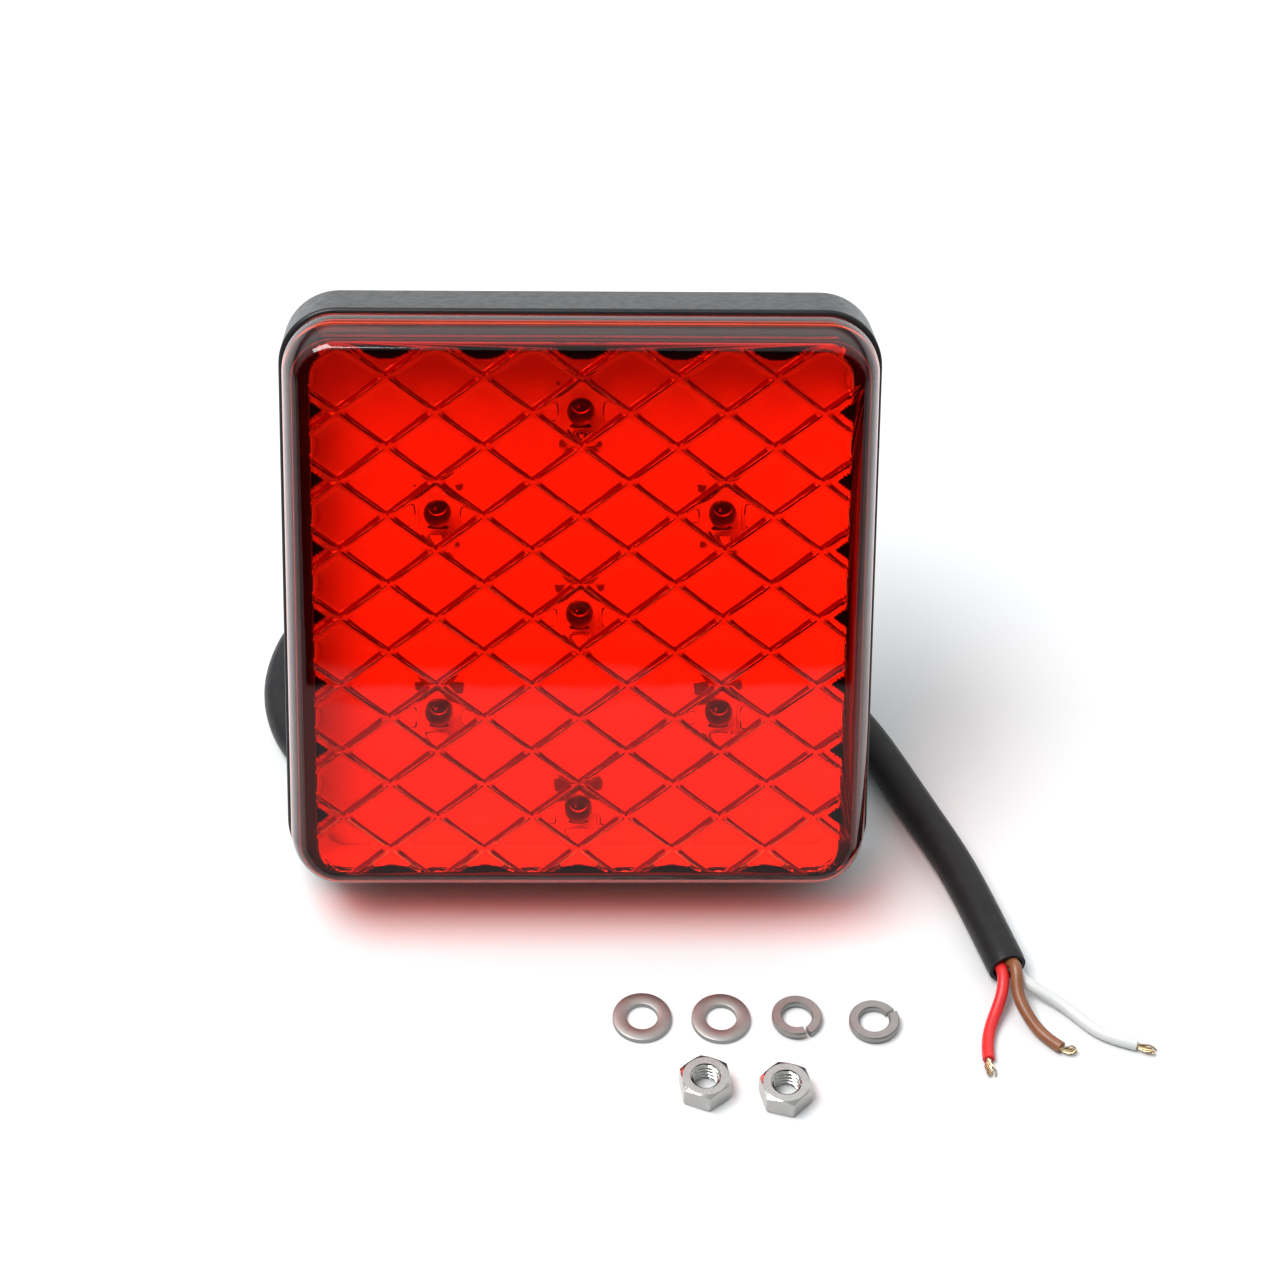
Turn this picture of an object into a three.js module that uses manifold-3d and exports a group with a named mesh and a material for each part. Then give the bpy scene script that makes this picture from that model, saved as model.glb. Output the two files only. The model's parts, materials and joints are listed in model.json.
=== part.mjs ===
// A square 12 V trailer tail light with its cable and its M5 fixing kit, in millimetres, +Z up.
// The lamp leans back on its heel and its cable, and the nuts and washers lie on the table in front.
// The origin is on the table, under the middle of the lamp and its kit.

import * as THREE from 'three';
import { mergeVertices } from 'three/addons/utils/BufferGeometryUtils.js';
import Module from 'manifold-3d';

const wasm = await Module();
wasm.setup();

// ---------------------------------------------------------------- driving dimensions

const GAP = 0.3; // air kept between neighbouring solids
const SKIN = 0.15; // thinner air, between flat faces only
const BITE = 0.5; // how far two solids reach into each other where they are joined
const CORNER_STEPS = 4;

// How the lamp stands: its back bottom edge, the heel, is on the table.
const LAMP_X = -2.15;
const HEEL_Y = 5.9;
const LEAN = THREE.MathUtils.degToRad(28.5);

// The lamp in its own frame: X right, Y up its face, Z out of its face, back face at Z = 0.
const SIDE = 100; // the housing is square
const DEPTH = 26; // back face to front face
const CORNER = 9.7;
const HOUSING_DEPTH = 14;
const WALL = 2;
const FLOOR = 2.2;
const EDGE = 0.6; // small bevel round the housing's edges

const LENS_STEP = 0.7; // how far the lens stands back from the housing's side
const LENS_WALL = 2.7;
const LENS_PLATE = 2.5;
const LENS_ROUND = { inset: 3.7, height: 11 }; // the rim's long, elliptical rounding
const SEAL = 0.3;
const SEAL_INSET = 0.5; // the seal stands back this far from the lens's side
const SEAL_LAP = 0.2; // and this far inside the housing's wall
const TONGUE = 2.4; // the lens reaches this far down inside the housing

const DIAMOND = { halfWidth: 7.95, halfHeight: 5.88, relief: 0.9, fill: 0.94 };
const WINDOW = { halfWidth: 43.4, halfHeight: 45, corner: 4 };

// A black frame stands on the board's margin, inside the lens, and hides the edge of the board.
const FRAME = { half: 46.3, corner: 6, inside: { halfWidth: 44.3, halfHeight: 45.4, corner: 4.6 } };

const BOARD = { half: 47.2, corner: 6.8, bottom: 10.2, thickness: 1.6 };
const LED = { body: 7.6, bodyHeight: 2, domeRadius: 2.3, neck: 0.2, foot: 0.9, standoff: 0.6 };
const LED_PITCH = { x: 3 * DIAMOND.halfWidth, y: 3 * DIAMOND.halfHeight };
const LED_DROP = 2.2; // the LEDs sit this far below the middle of the lens
const LED_PLACES = [[0, 2], [-1, 1], [1, 1], [0, 0], [-1, -1], [1, -1], [0, -2]];

// Surface-mounted parts under the board: width, length and height, and where each one sits.
const SMALL_PARTS = {
  resistor: { size: [3.2, 6.3, 0.8], places: [[-30, 24], [-18, 24], [18, 24], [30, 24]] },
  diode: { size: [2.7, 4.6, 2.2], places: [[-8, 24], [8, 24]] },
  capacitor: { size: [6.6, 6.6, 5.4], places: [[30, -24]] },
};

const POST = { radius: 4, at: 41.3 };

const M5 = { across: 8, nutHeight: 4, headHeight: 3.5, shank: 2.45, hole: 2.85, bore: 2.1 };
const STUD = { spacing: 45, length: 20 };
const WASHER = { outer: 5, inner: 2.65, thickness: 1 };
const SPRING_WASHER = { outer: 4.25, inner: 2.6, thickness: 1.3, split: 0.8 };

const GLAND = { y: -12, hole: 4.5, neck: 4.2, flange: 6.3, boot: 6, tip: 4.3, length: 12, inner: 5.2 };
const SHEATH = 6.8; // diameter
const CORE = 2.1; // diameter
const STRAND = 1.3; // diameter of the bare copper bundle
const LEAD = { diameter: 1.8, spacing: 2.7, spread: 5, rise: 15.4 }; // the cores inside the housing
const JOINT = { radius: 1.5, height: 0.6, rim: 0.3 }; // their solder joints, under the board

// ---------------------------------------------------------------- the cable's route, on the table

const LOW = SHEATH / 2 + 0.05;
const SHEATH_ROUTE = [
  [-2.15, 34.9, 27.7],
  [-1.3, 44.8, 22.6],
  [-4.6, 54.6, 17.9],
  [-11.5, 62, 14],
  [-20.6, 66.5, 10.7],
  [-30.6, 67.4, 8.1],
  [-40.4, 64.6, 6],
  [-48.4, 58.5, 4.6],
  [-53.7, 49.8, 3.7],
  [-55.6, 39.9, LOW],
  [-53.5, 29.3, LOW],
  [-47.5, 20.4, LOW],
  [-38.6, 14.4, LOW],
  [-28, 12.3, LOW],
  [-17.4, 14.4, LOW],
  [-8.5, 20.4, LOW],
  [-1.4, 28.4, LOW],
  [5.7, 36.5, LOW],
  [14.6, 42.5, LOW],
  [25.2, 44.6, LOW],
  [35.8, 42.5, LOW],
  [44.7, 36.5, LOW],
  [50.2, 28.7, LOW],
  [54.9, 19, LOW],
  [60, 7.6, LOW],
  [64.4, -2.7, LOW],
  [67.6, -12.2, LOW],
  [70, -20, LOW],
  [71.4, -24.7, LOW],
];

// Each core leaves the sheath's end and comes down to the table; its last point starts the copper.
const FLAT = CORE / 2 + 0.05;
const CORES = {
  red: [
    [70.3, -25.9, 4.1], [69.8, -30.4, 2.9], [68, -34.8, 1.5], [67, -38.6, FLAT], [66.8, -42.2, FLAT],
  ],
  brown: [
    [72.2, -25.2, 5.2], [72.6, -29.2, 3.8], [73.9, -33.2, 2.2], [76.4, -36.9, FLAT], [79.3, -39.8, FLAT],
  ],
  white: [
    [73.2, -25.6, 2.9], [77.2, -29, 2.1], [81.4, -32, 1.3], [85.9, -36.4, FLAT], [92.2, -39.2, FLAT],
  ],
};
const STRANDS = {
  red: [[66.8, -42.6, 1], [66.8, -44, 0.8], [66.9, -45.2, 0.75]],
  brown: [[79.7, -40, 1], [80.8, -40.2, 0.8], [82, -40.1, 0.75]],
  white: [[92.6, -39.4, 1], [94, -40, 0.8], [95.2, -40.6, 0.75]],
};

// ---------------------------------------------------------------- where the loose kit lies

const KIT = {
  plain_washer: [[8.6, -33], [22, -33.2]],
  spring_washer: [[34.9, -33.2, -65], [48, -34.1, 28]], // the last number turns the split, in degrees
  hex_nut: [[18.8, -47.6, 8], [32.2, -48.9, 14]], // the last number turns the nut, in degrees
};

// ---------------------------------------------------------------- materials

const finish = (color, roughness, metalness = 0) =>
  new THREE.MeshStandardMaterial({ color, roughness, metalness });
const RED_LENS = finish(0xe01808, 0.08);
const BLACK_PLASTIC = finish(0x0b0b0c, 0.2);
const BLACK_RUBBER = finish(0x141415, 0.6);
const CLEAR_RESIN = finish(0xf2e6e0, 0.05);
const WHITE_BOARD = finish(0xf4f4f0, 0.5);
const ZINC = finish(0xb8b8b8, 0.3, 1);
const COPPER = finish(0xc98a4a, 0.35, 1);
const SOLDER = finish(0xc8c8cc, 0.3, 1);
const CERAMIC = finish(0x24262a, 0.5);
const CORE_COLOURS = {
  red: finish(0xd0202a, 0.45),
  brown: finish(0x6a3a22, 0.45),
  white: finish(0xf0f0ee, 0.45),
};

// ---------------------------------------------------------------- booleans

function solid(geometry) {
  const plain = geometry.clone();
  plain.deleteAttribute('normal');
  plain.deleteAttribute('uv');
  const merged = mergeVertices(plain, 1e-4);
  const mesh = new wasm.Mesh({
    numProp: 3,
    vertProperties: new Float32Array(merged.attributes.position.array),
    triVerts: new Uint32Array(merged.index.array),
  });
  return new wasm.Manifold(mesh);
}

function geometryOf(manifold) {
  const mesh = manifold.getMesh();
  const geometry = new THREE.BufferGeometry();
  geometry.setAttribute('position', new THREE.BufferAttribute(mesh.vertProperties, 3));
  geometry.setIndex(new THREE.BufferAttribute(mesh.triVerts, 1));
  geometry.computeVertexNormals();
  return geometry;
}

const join = (first, ...others) => others.reduce((whole, other) => whole.add(other), first);
const cut = (first, ...others) => others.reduce((whole, other) => whole.subtract(other), first);

// ---------------------------------------------------------------- simple shapes

function roundedRectangle(halfWidth, halfHeight, radius) {
  const x = halfWidth - radius;
  const y = halfHeight - radius;
  const shape = new THREE.Shape();
  shape.absarc(x, y, radius, 0, Math.PI / 2);
  shape.absarc(-x, y, radius, Math.PI / 2, Math.PI);
  shape.absarc(-x, -y, radius, Math.PI, 1.5 * Math.PI);
  shape.absarc(x, -y, radius, 1.5 * Math.PI, 2 * Math.PI);
  return shape;
}

function slab(shape, bottom, top) {
  const geometry = new THREE.ExtrudeGeometry(shape, {
    depth: top - bottom,
    bevelEnabled: false,
    curveSegments: CORNER_STEPS,
  });
  return geometry.translate(0, 0, bottom);
}

// A slab whose edges are rounded off at both ends, `inset` inwards over `height`.
function bevelledSlab(half, radius, bottom, top, { inset, height }, segments) {
  const geometry = new THREE.ExtrudeGeometry(roundedRectangle(half - inset, half - inset, radius - inset), {
    depth: top - bottom - 2 * height,
    bevelSize: inset,
    bevelThickness: height,
    bevelSegments: segments,
    curveSegments: CORNER_STEPS,
  });
  return geometry.translate(0, 0, bottom + height);
}

function rod(radius, bottom, top, x = 0, y = 0, sides = 20) {
  const geometry = new THREE.CylinderGeometry(radius, radius, top - bottom, sides);
  geometry.rotateX(Math.PI / 2);
  return geometry.translate(x, y, (top + bottom) / 2);
}

function hexRod(across, bottom, top, x = 0, y = 0) {
  return rod(across / Math.sqrt(3), bottom, top, 0, 0, 6).rotateZ(Math.PI / 6).translate(x, y, 0);
}

function block(width, length, bottom, top, x = 0, y = 0) {
  return new THREE.BoxGeometry(width, length, top - bottom).translate(x, y, (top + bottom) / 2);
}

// A round body about Z: its profile is a list of [radius, height], from the axis round to the axis.
function turned(profile, sides = 24) {
  const points = profile.map(([radius, height]) => new THREE.Vector2(radius, height));
  return new THREE.LatheGeometry(points, sides).rotateX(Math.PI / 2);
}

function tube(route, diameter, steps, sides) {
  const curve = new THREE.CatmullRomCurve3(route.map((point) => new THREE.Vector3(...point)));
  const section = new THREE.Shape();
  section.absarc(0, 0, diameter / 2, 0, 2 * Math.PI);
  return new THREE.ExtrudeGeometry(section, {
    extrudePath: curve,
    steps,
    curveSegments: sides / 2, // a full circle gets twice as many
    bevelEnabled: false,
  });
}

// ---------------------------------------------------------------- the assembly

const assembly = new THREE.Group();
const lamp = new THREE.Group();
lamp.rotation.x = Math.PI / 2 - LEAN;
lamp.position.set(
  LAMP_X,
  HEEL_Y + (SIDE / 2) * Math.sin(LEAN),
  (SIDE / 2) * Math.cos(LEAN),
);
assembly.add(lamp);

function place(group, name, geometry, material) {
  const mesh = new THREE.Mesh(geometry, material);
  mesh.name = name;
  group.add(mesh);
  return mesh;
}

const BOARD_TOP = BOARD.bottom + BOARD.thickness;
const CORNERS = [[1, 1], [-1, 1], [-1, -1], [1, -1]].map((signs) => signs.map((sign) => sign * POST.at));
const STUD_PLACES = [[-STUD.spacing / 2, 0], [STUD.spacing / 2, 0]];

// ---------------------------------------------------------------- lamp body

function makeHousing() {
  const half = SIDE / 2;
  const shell = solid(bevelledSlab(half, CORNER, 0, HOUSING_DEPTH, { inset: EDGE, height: EDGE }, 2));
  const hollow = roundedRectangle(half - WALL, half - WALL, CORNER - WALL);
  let housing = cut(shell, solid(slab(hollow, FLOOR, HOUSING_DEPTH + 1)));
  for (const [x, y] of CORNERS) {
    housing = join(housing, solid(rod(POST.radius, FLOOR - BITE, BOARD.bottom - GAP, x, y)));
  }
  for (const [x, y] of STUD_PLACES) {
    const socketTop = FLOOR + GAP + M5.headHeight - BITE;
    housing = join(housing, solid(rod(M5.across * 0.8, FLOOR - BITE, socketTop, x, y, 24)));
    housing = cut(
      housing,
      solid(hexRod(M5.across + 2 * GAP, FLOOR, socketTop + 1, x, y)),
      solid(rod(M5.hole, -1, FLOOR + 1, x, y)),
    );
  }
  return cut(housing, solid(rod(GLAND.hole, -1, FLOOR + 1, 0, GLAND.y, 24)));
}

// The cap's inner face carries a quilt of low four-sided points, one to each diamond.
function makeLens() {
  const half = SIDE / 2 - LENS_STEP;
  const foot = HOUSING_DEPTH + SEAL + 2 * SKIN;
  const ceiling = DEPTH - LENS_PLATE;
  const tongueHalf = SIDE / 2 - WALL - GAP;
  const corner = CORNER - LENS_STEP;
  const start = foot - 2 * LENS_ROUND.height;
  const rounded = solid(bevelledSlab(half, corner, start, DEPTH, LENS_ROUND, 6));
  const below = solid(slab(roundedRectangle(SIDE, SIDE, 1), start - 1, foot));
  const tongue = roundedRectangle(tongueHalf, tongueHalf, CORNER - WALL - GAP);
  const inside = roundedRectangle(half - LENS_WALL, half - LENS_WALL, corner - LENS_WALL);
  const cap = join(cut(rounded, below), solid(slab(tongue, foot - TONGUE, foot + 1)));
  return join(cut(cap, solid(slab(inside, foot - TONGUE - 1, ceiling))), makeQuilt(ceiling));
}

function makeQuilt(ceiling) {
  const { halfWidth, halfHeight, relief, fill } = DIAMOND;
  const columns = Math.ceil(WINDOW.halfWidth / halfWidth);
  const rows = Math.ceil(WINDOW.halfHeight / halfHeight);
  const overlap = 0.2; // the points start inside the plate
  const point = new THREE.ConeGeometry(1, relief + overlap, 4).rotateX(-Math.PI / 2);
  point.scale(fill * halfWidth, fill * halfHeight, 1);
  point.translate(0, 0, ceiling + overlap - (relief + overlap) / 2);
  let quilt = null;
  for (let column = -columns; column <= columns; column++) {
    for (let row = -rows; row <= rows; row++) {
      if ((column + row) % 2 !== 0) continue;
      const here = solid(point.clone().translate(column * halfWidth, row * halfHeight, 0));
      quilt = quilt ? quilt.add(here) : here;
    }
  }
  const window = roundedRectangle(WINDOW.halfWidth, WINDOW.halfHeight, WINDOW.corner);
  return quilt.intersect(solid(slab(window, ceiling - relief - 1, DEPTH)));
}

function makeSeal() {
  const outer = SIDE / 2 - LENS_STEP - SEAL_INSET;
  const inner = SIDE / 2 - WALL + SEAL_LAP;
  const shape = roundedRectangle(outer, outer, CORNER - LENS_STEP - SEAL_INSET);
  shape.holes.push(roundedRectangle(inner, inner, CORNER - WALL + SEAL_LAP));
  return slab(shape, HOUSING_DEPTH + SKIN, HOUSING_DEPTH + SKIN + SEAL);
}

function makeFrame() {
  const { half, corner, inside } = FRAME;
  const shape = roundedRectangle(half, half, corner);
  shape.holes.push(roundedRectangle(inside.halfWidth, inside.halfHeight, inside.corner));
  return slab(shape, BOARD_TOP + GAP, DEPTH - LENS_PLATE - GAP);
}

// ---------------------------------------------------------------- electronics

function makeBoard() {
  return slab(roundedRectangle(BOARD.half, BOARD.half, BOARD.corner), BOARD.bottom, BOARD_TOP);
}

function makeLed() {
  const base = BOARD_TOP + LED.standoff;
  const shoulder = base + LED.bodyHeight;
  const sunk = shoulder - BITE;
  const dome = [[0, sunk], [LED.domeRadius, sunk], [LED.domeRadius, shoulder + LED.neck]];
  const steps = 5;
  for (let step = 1; step <= steps; step++) {
    const angle = (step / steps) * (Math.PI / 2);
    const radius = step === steps ? 0 : LED.domeRadius * Math.cos(angle);
    dome.push([radius, shoulder + LED.neck + LED.domeRadius * Math.sin(angle)]);
  }
  let led = join(solid(block(LED.body, LED.body, base, shoulder)), solid(turned(dome, 20)));
  const out = LED.body / 2 - LED.foot / 2;
  for (const [x, y] of [[out, out], [-out, out], [-out, -out], [out, -out]]) {
    led = join(led, solid(block(LED.foot, LED.foot, BOARD_TOP + SKIN, base + BITE, x, y)));
  }
  return geometryOf(led);
}

function addElectronics() {
  place(lamp, 'circuit_board', makeBoard(), WHITE_BOARD);
  LED_PLACES.forEach(([column, row], index) => {
    const led = place(lamp, `led_${index + 1}`, makeLed(), CLEAR_RESIN);
    led.position.set(column * LED_PITCH.x, row * LED_PITCH.y - LED_DROP, 0);
  });
  const top = BOARD.bottom - SKIN;
  for (const [name, { size, places }] of Object.entries(SMALL_PARTS)) {
    const [width, length, height] = size;
    places.forEach(([x, y], index) => {
      const label = places.length > 1 ? `${name}_${index + 1}` : name;
      const material = name === 'capacitor' ? SOLDER : CERAMIC;
      place(lamp, label, block(width, length, top - height, top, x, y), material);
    });
  }
}

// ---------------------------------------------------------------- studs, gland and inner wires

function makeStud() {
  const seat = FLOOR + GAP;
  const head = solid(hexRod(M5.across, seat, seat + M5.headHeight));
  return join(head, solid(rod(M5.shank, -STUD.length, seat + BITE)));
}

// A rubber grommet: flange inside, neck through the wall, tapered boot outside.
function makeGland() {
  const { neck, flange, boot, tip, length, inner } = GLAND;
  const profile = [
    [0, -length], [tip, -length], [boot, -2], [boot, -GAP], [neck, -GAP],
    [neck, FLOOR + GAP], [flange, FLOOR + GAP], [flange, inner - 0.8], [flange - 1.5, inner], [0, inner],
  ];
  return turned(profile);
}

function addWiring() {
  STUD_PLACES.forEach(([x, y], index) => {
    place(lamp, `stud_${index + 1}`, geometryOf(makeStud()), ZINC).position.set(x, y, 0);
  });
  place(lamp, 'cable_gland', makeGland(), BLACK_RUBBER).position.y = GLAND.y;
  const start = GLAND.inner + GAP;
  const pad = BOARD.bottom - SKIN;
  const end = pad - JOINT.height - GAP;
  const foot = GLAND.y + LEAD.rise; // where the cores meet the board
  const profile = [[0, pad - JOINT.height], [JOINT.radius, pad - JOINT.rim], [JOINT.radius, pad], [0, pad]];
  Object.keys(CORES).forEach((colour, index) => {
    const x = (index - 1) * LEAD.spacing;
    const spread = (index - 1) * LEAD.spread;
    const route = [
      [x, GLAND.y, start],
      [x, GLAND.y + 0.5, start + 1],
      [x, GLAND.y + 3, start + 1.9],
      [x + spread / 2, GLAND.y + 8, start + 2],
      [x + spread, GLAND.y + 13, start + 2.2],
      [x + spread, foot - 0.2, end - 0.6],
      [x + spread, foot, end],
    ];
    place(lamp, `lead_${colour}`, tube(route, LEAD.diameter, 10, 8), CORE_COLOURS[colour]);
    place(lamp, `solder_${colour}`, turned(profile, 12), SOLDER).position.set(x + spread, foot, 0);
  });
}

// ---------------------------------------------------------------- cable outside the lamp

function addCable() {
  place(assembly, 'cable_sheath', tube(SHEATH_ROUTE, SHEATH, 44, 10), BLACK_RUBBER);
  for (const colour of Object.keys(CORES)) {
    place(assembly, `core_${colour}`, tube(CORES[colour], CORE, 8, 8), CORE_COLOURS[colour]);
    place(assembly, `strands_${colour}`, tube(STRANDS[colour], STRAND, 3, 8), COPPER);
  }
}

// ---------------------------------------------------------------- loose fixing kit

function ring(outer, inner, height, sides) {
  const shape = new THREE.Shape();
  shape.absarc(0, 0, outer, 0, 2 * Math.PI);
  const hole = new THREE.Path();
  hole.absarc(0, 0, inner, 0, 2 * Math.PI, true);
  shape.holes.push(hole);
  return new THREE.ExtrudeGeometry(shape, { depth: height, bevelEnabled: false, curveSegments: sides / 2 });
}

function makeSpringWasher() {
  const { outer, inner, thickness, split } = SPRING_WASHER;
  const whole = solid(ring(outer, inner, thickness, 32));
  return cut(whole, solid(block(outer, split, -1, thickness + 1, outer / 2, 0)));
}

function makeNut() {
  const hex = solid(hexRod(M5.across, 0, M5.nutHeight));
  return cut(hex, solid(rod(M5.bore, -1, M5.nutHeight + 1)));
}

function addKit() {
  const makers = {
    plain_washer: () => ring(WASHER.outer, WASHER.inner, WASHER.thickness, 32),
    spring_washer: () => geometryOf(makeSpringWasher()),
    hex_nut: () => geometryOf(makeNut()),
  };
  for (const [name, places] of Object.entries(KIT)) {
    places.forEach(([x, y, turn = 0], index) => {
      const mesh = place(assembly, `${name}_${index + 1}`, makers[name](), ZINC);
      mesh.position.set(x, y, 0);
      mesh.rotation.z = THREE.MathUtils.degToRad(turn);
    });
  }
}

// ---------------------------------------------------------------- put together

place(lamp, 'housing', geometryOf(makeHousing()), BLACK_PLASTIC);
place(lamp, 'lens_seal', makeSeal(), BLACK_RUBBER);
place(lamp, 'lens_cover', geometryOf(makeLens()), RED_LENS);
place(lamp, 'inner_frame', makeFrame(), BLACK_PLASTIC);
addElectronics();
addWiring();
addCable();
addKit();

export default assembly;
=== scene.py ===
"""The looks of a square LED trailer tail light, its cable and its loose M5 kit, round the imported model."""

import json
from math import cos, hypot, pi, radians, sin, sqrt, tan

import bmesh
import bpy
import numpy as np
from mathutils import Matrix, Vector
from mathutils.geometry import delaunay_2d_cdt


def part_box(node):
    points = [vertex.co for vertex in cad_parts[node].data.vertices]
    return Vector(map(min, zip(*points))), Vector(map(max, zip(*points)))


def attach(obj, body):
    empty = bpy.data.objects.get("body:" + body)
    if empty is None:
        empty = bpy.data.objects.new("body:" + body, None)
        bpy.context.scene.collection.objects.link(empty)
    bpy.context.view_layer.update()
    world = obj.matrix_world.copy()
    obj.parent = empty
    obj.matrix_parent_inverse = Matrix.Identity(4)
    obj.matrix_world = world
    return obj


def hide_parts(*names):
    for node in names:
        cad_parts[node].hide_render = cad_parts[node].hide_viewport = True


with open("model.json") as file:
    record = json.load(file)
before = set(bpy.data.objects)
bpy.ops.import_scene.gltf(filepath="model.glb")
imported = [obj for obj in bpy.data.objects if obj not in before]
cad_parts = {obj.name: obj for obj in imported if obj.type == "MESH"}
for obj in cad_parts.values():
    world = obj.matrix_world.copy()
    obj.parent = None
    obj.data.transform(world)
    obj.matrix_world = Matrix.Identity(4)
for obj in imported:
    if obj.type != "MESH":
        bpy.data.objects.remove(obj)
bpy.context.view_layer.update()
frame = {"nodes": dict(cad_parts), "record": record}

MM = 0.001
ROW = Matrix.Scale(MM, 4)  # from millimetres to the row frame


# ---- camera

CAMERA = {
    "place": (-0.01078, -0.3862, 0.47156),  # metres
    "pitch": 46.85,  # degrees below the horizon
    "yaw": -2.71,
    "roll": 2.08,
    "lens": 97.03,  # millimetres, on a sensor this wide:
    "sensor": 36,
}


def add_object(name, data):
    item = bpy.data.objects.new(name, data)
    bpy.context.scene.collection.objects.link(item)
    return item


def add_camera():
    data = bpy.data.cameras.new("camera")
    data.sensor_width = CAMERA["sensor"]
    data.lens = CAMERA["lens"]
    data.clip_start = 0.01
    data.dof.use_dof = False
    camera = add_object("camera", data)
    turn = Matrix.Rotation(radians(CAMERA["yaw"]), 4, "Z")
    tilt = Matrix.Rotation(radians(90 - CAMERA["pitch"]), 4, "X")
    roll = Matrix.Rotation(radians(CAMERA["roll"]), 4, "Z")
    camera.matrix_world = Matrix.Translation(CAMERA["place"]) @ turn @ tilt @ roll
    bpy.context.scene.camera = camera


# ---- dimensions, in millimetres

SIDE = 100
DEPTH = 26
CORNER = 9.7
HOUSING_DEPTH = 14
WALL = 2
FLOOR = 2.2
EDGE = 0.6  # the rounding of the housing's edges
POST = {"radius": 4, "top": 9.9, "at": 41.3}  # the four posts under the board
SOCKET = {"radius": 6.4, "top": 5.5, "across": 8.6, "hole": 2.85}  # for a stud's head and shank

LENS_STEP = 0.7  # how far the lens stands back from the housing's side
LENS_WALL = 2.7
LENS_HALF = SIDE / 2 - LENS_STEP
LENS_CORNER = CORNER - LENS_STEP
LENS_INSIDE = (LENS_HALF - LENS_WALL, LENS_CORNER - LENS_WALL)  # half side, corner
LENS_ROUND = (3.7, 11)  # the rim's rounding: inwards, and down the rim
LENS_FOOT = HOUSING_DEPTH + 0.6
LENS_CEILING = DEPTH - 2.5
LENS_FILLET = 0.4
TONGUE_HALF = SIDE / 2 - WALL - 0.3  # the tongue reaches down inside the housing
TONGUE_CORNER = CORNER - WALL - 0.3
TONGUE_END = LENS_FOOT - 2.4
FRAME_OUTSIDE = (46.4, 46.4, 6.1)  # half width, half height, corner
FRAME_INSIDE = (44.0, 45.1, 4.4)
FRAME_ENDS = (12.1, 22.1)

DIAMOND = (7.95, 5.88)  # half width, half height
RELIEF = 0.6  # how far the quilt stands in from the inner face
CROWN = 8  # a higher number gives flatter diamonds with steeper edges
WINDOW = (44.4, 45.5, 4.8)  # the quilted part: half width, half height, corner
WINDOW_SLOPE = 0.5  # the quilt runs out over this width
CELL_WIDTH = DIAMOND[0] * DIAMOND[1] / hypot(*DIAMOND)  # a diamond's middle to its edge

BOARD_TOP = 11.8
LED_PLACES = [(0, 2), (-1, 1), (1, 1), (0, 0), (-1, -1), (1, -1), (0, -2)]
LED_PITCH = (3 * DIAMOND[0], 3 * DIAMOND[1])
LED_DROP = 2.2  # the LEDs sit this far below the middle of the lens
LED_HALF = 3.8
LED_BASE = BOARD_TOP + 0.6
LED_SHOULDER = LED_BASE + 2
DOME_RADIUS = 2.3
DOME_NECK = 0.2

STUD_X = 22.5
STUD_LENGTH = 20
STUD_HEAD = 3.5
GLAND_Y = -12
GLAND_HOLE = 4.5

THREAD = {"crest": 2.45, "root": 2.02, "pitch": 0.8}
NUT = {"across": 8, "height": 4}
WASHER = {"outer": 5, "inner": 2.65, "thickness": 1}
SPRING_WASHER = {"outer": 4.25, "inner": 2.6, "thickness": 1.3, "split": 0.8, "rise": 0.55}

SHEATH = 6.8  # this and the next three are diameters
SHEATH_BORE = 5.1
CORE = 2.1
WIRE = 0.3


def lamp_frame():
    """The lamp's own frame: X right, Y up its face, Z out of its face, in millimetres."""
    mounts = {mount["name"]: mount for mount in frame["record"]["mounts"]}
    out = -Vector(mounts["mounting_face"]["axis"]).normalized()
    right = Vector((1, 0, 0))
    up = out.cross(right)
    low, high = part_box("housing")
    matrix = Matrix((right, up, out)).transposed().to_4x4()
    matrix.translation = (low + high) / 2 - out * HOUSING_DEPTH / 2 * MM
    return matrix @ ROW


LAMP = lamp_frame()


# ---- node helpers


class Tree:
    """A node tree, with short calls for what the materials and the world share."""

    def __init__(self, tree):
        self.tree = tree

    def add(self, kind, **values):
        node = self.tree.nodes.new(kind)
        for key, value in values.items():
            node.inputs[key.replace("_", " ")].default_value = value
        return node

    def link(self, output, socket):
        self.tree.links.new(output, socket)

    def math(self, operation, *values):
        node = self.add("ShaderNodeMath")
        node.operation = operation
        for value, socket in zip(values, node.inputs):
            self.link(value, socket)
        return node.outputs["Value"]

    def spread(self, fac, low, high, start=0.3, end=0.7):
        """A number from low to high as fac goes from start to end."""
        node = self.add("ShaderNodeMapRange")
        for key, value in zip(("From Min", "From Max", "To Min", "To Max"), (start, end, low, high)):
            node.inputs[key].default_value = value
        self.link(fac, node.inputs["Value"])
        return node.outputs["Result"]

    def eased(self, fac, span, low, high):
        """The same over a span of fac, but easing in and out."""
        result = self.spread(fac, low, high, *span)
        result.node.interpolation_type = "SMOOTHSTEP"
        return result


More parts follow.
